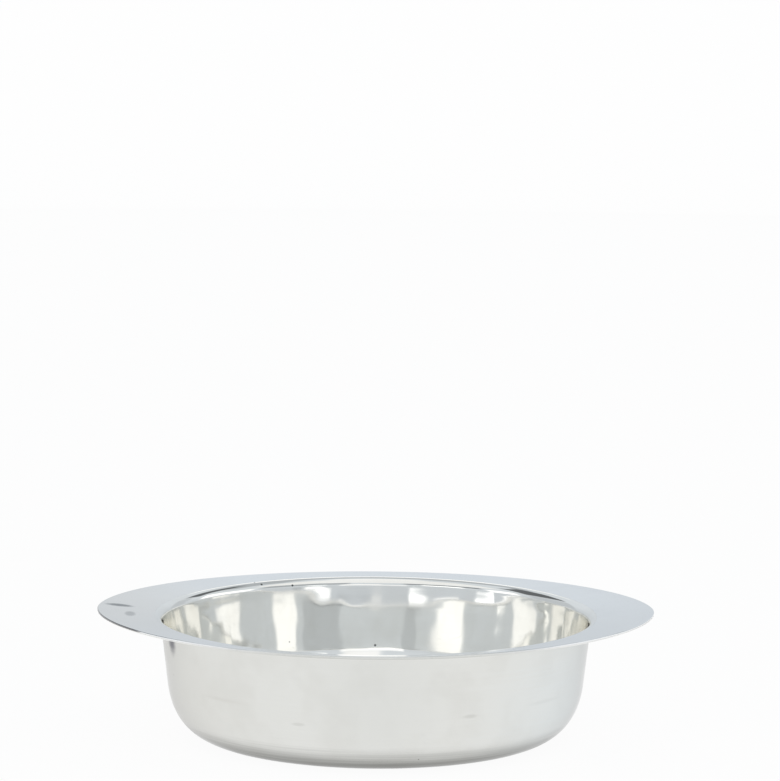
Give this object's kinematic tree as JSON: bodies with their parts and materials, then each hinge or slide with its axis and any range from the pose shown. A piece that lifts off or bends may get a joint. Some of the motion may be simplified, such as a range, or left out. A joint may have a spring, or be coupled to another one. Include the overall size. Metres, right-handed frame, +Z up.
{
  "type": "vegetable dish",
  "caption": "Low round silver-plated vegetable dish: slightly flared wall, soft corner, flat base and a thin rim that swells into two pointed ears for carrying.",
  "frame": {"origin": "centre of the dish at the height of the table that it stands on", "axes": "+Z up, +X to the right along the two ears, +Y to the back; the picture looks along +Y"},
  "size_m": [0.28, 0.2424, 0.0651],
  "materials": {
    "satin_silver_plate": "polished",
    "bright_silver_plate": "polished"
  },
  "bodies": {
    "root": {"bowl": "satin_silver_plate", "rim": "bright_silver_plate", "edge_wire": "bright_silver_plate"}
  },
  "joints": []
}
